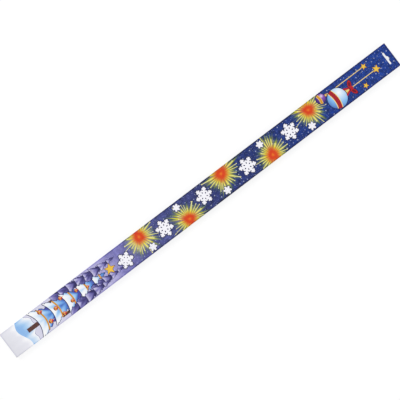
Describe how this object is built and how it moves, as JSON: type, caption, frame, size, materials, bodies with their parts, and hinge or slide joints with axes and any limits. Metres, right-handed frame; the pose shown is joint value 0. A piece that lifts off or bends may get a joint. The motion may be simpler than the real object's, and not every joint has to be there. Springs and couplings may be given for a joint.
{
  "type": "sparkler packet",
  "caption": "Long flat printed boxboard packet with a euro-slot hang tab and a tuck-in foot, holding long dipped wire hand sparklers that draw out behind the tab.",
  "frame": {"origin": "middle of the back's outer face, on which the packet lies", "axes": "+X from the foot to the hang tab, +Y to the left of the printed front with the tab up, +Z out of the printed front"},
  "size_m": [0.74, 0.043, 0.009],
  "materials": {
    "sky_print_board": "gloss",
    "snow_print_board": "gloss",
    "plain_board": "matte",
    "sparkler_wire": "satin",
    "sparkler_composition": "matte"
  },
  "bodies": {
    "carton": {"front_panel": "sky_print_board", "hang_tab_front_ply": "sky_print_board", "hang_tab_rear_ply": "sky_print_board", "back_panel": "sky_print_board", "side_wall_left": "sky_print_board", "side_wall_right": "sky_print_board", "seam_flap": "plain_board"},
    "tuck_flap": {"tuck_flap_panel": "snow_print_board", "tuck_tongue": "snow_print_board"},
    "left_dust_flap": {"dust_flap_left": "snow_print_board"},
    "right_dust_flap": {"dust_flap_right": "snow_print_board"},
    "sparkler_1": {"sparkler_wire_1": "sparkler_wire", "sparkler_composition_1": "sparkler_composition"},
    "sparkler_2": {"sparkler_wire_2": "sparkler_wire", "sparkler_composition_2": "sparkler_composition"},
    "sparkler_3": {"sparkler_wire_3": "sparkler_wire", "sparkler_composition_3": "sparkler_composition"}
  },
  "joints": [
    {"name": "tuck_flap_hinge", "type": "hinge", "parent": "carton", "child": "tuck_flap", "pos_m": [-0.37, 0, 0.009], "axis": [0, 1, 0], "range_deg": [0, 180]},
    {"name": "left_dust_flap_hinge", "type": "hinge", "parent": "carton", "child": "left_dust_flap", "pos_m": [-0.3694, 0.0215, 0.0045], "axis": [0, 0, -1], "range_deg": [0, 45]},
    {"name": "right_dust_flap_hinge", "type": "hinge", "parent": "carton", "child": "right_dust_flap", "pos_m": [-0.3694, -0.0215, 0.0045], "axis": [0, 0, 1], "range_deg": [0, 45]},
    {"name": "sparkler_1_draw", "type": "slide", "parent": "carton", "child": "sparkler_1", "axis": [1, 0, 0], "range_m": [0, 0.735]},
    {"name": "sparkler_2_draw", "type": "slide", "parent": "carton", "child": "sparkler_2", "axis": [1, 0, 0], "range_m": [0, 0.735]},
    {"name": "sparkler_3_draw", "type": "slide", "parent": "carton", "child": "sparkler_3", "axis": [1, 0, 0], "range_m": [0, 0.735]}
  ],
  "couplings": [
    {"joint": "left_dust_flap_hinge", "follows": "tuck_flap_hinge", "ratio": 0.25},
    {"joint": "right_dust_flap_hinge", "follows": "tuck_flap_hinge", "ratio": 0.25}
  ]
}
